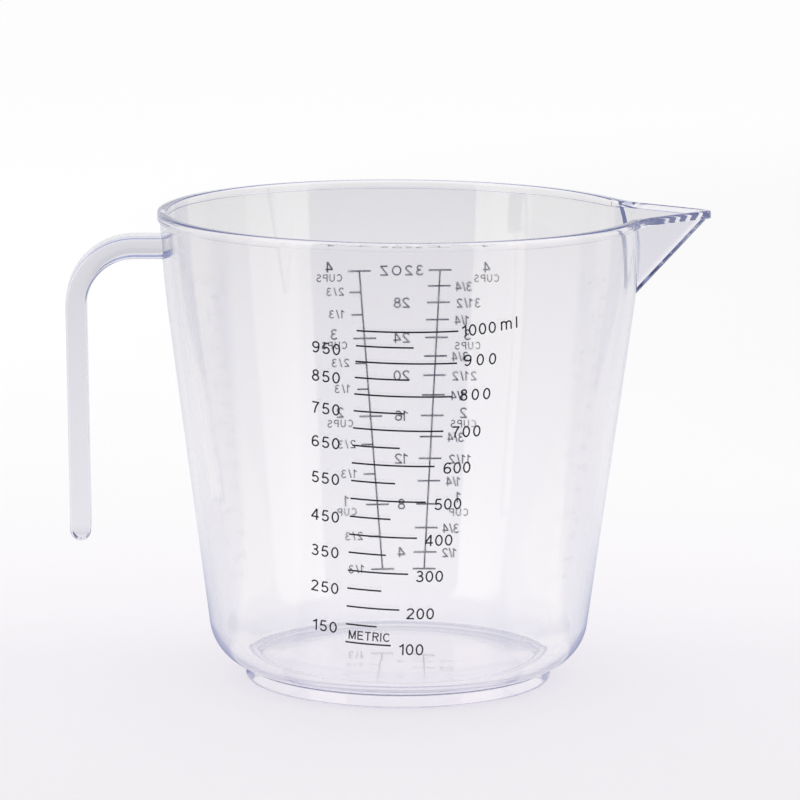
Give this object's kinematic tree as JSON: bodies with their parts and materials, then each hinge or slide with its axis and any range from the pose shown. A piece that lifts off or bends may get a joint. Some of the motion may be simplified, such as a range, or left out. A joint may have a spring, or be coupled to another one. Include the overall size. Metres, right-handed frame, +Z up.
{
  "type": "mixing cup",
  "caption": "Clear tapered mixing cup of about one litre with a rim bead, foot ring, folded pouring spout, open hook handle and printed measuring scales.",
  "frame": {"origin": "on the cup's axis, in the plane of the foot ring that stands on the table", "axes": "+Z up along the cup's axis, +X towards the spout's tip, -X towards the handle, the metric scale on the -Y side and the cup tracks on the +Y side"},
  "size_m": [0.1791, 0.1352, 0.1315],
  "materials": {
    "clear_plastic": "clear moulded polystyrene-like plastic with a faint violet cast, polished on both sides",
    "ink": "opaque black screen-printed ink, slightly duller than the plastic"
  },
  "bodies": {
    "root": {"cup_body": "clear_plastic", "pouring_spout": "clear_plastic", "handle": "clear_plastic", "metric_lines": "ink", "thirds_track": "ink", "quarters_track": "ink"}
  },
  "joints": []
}
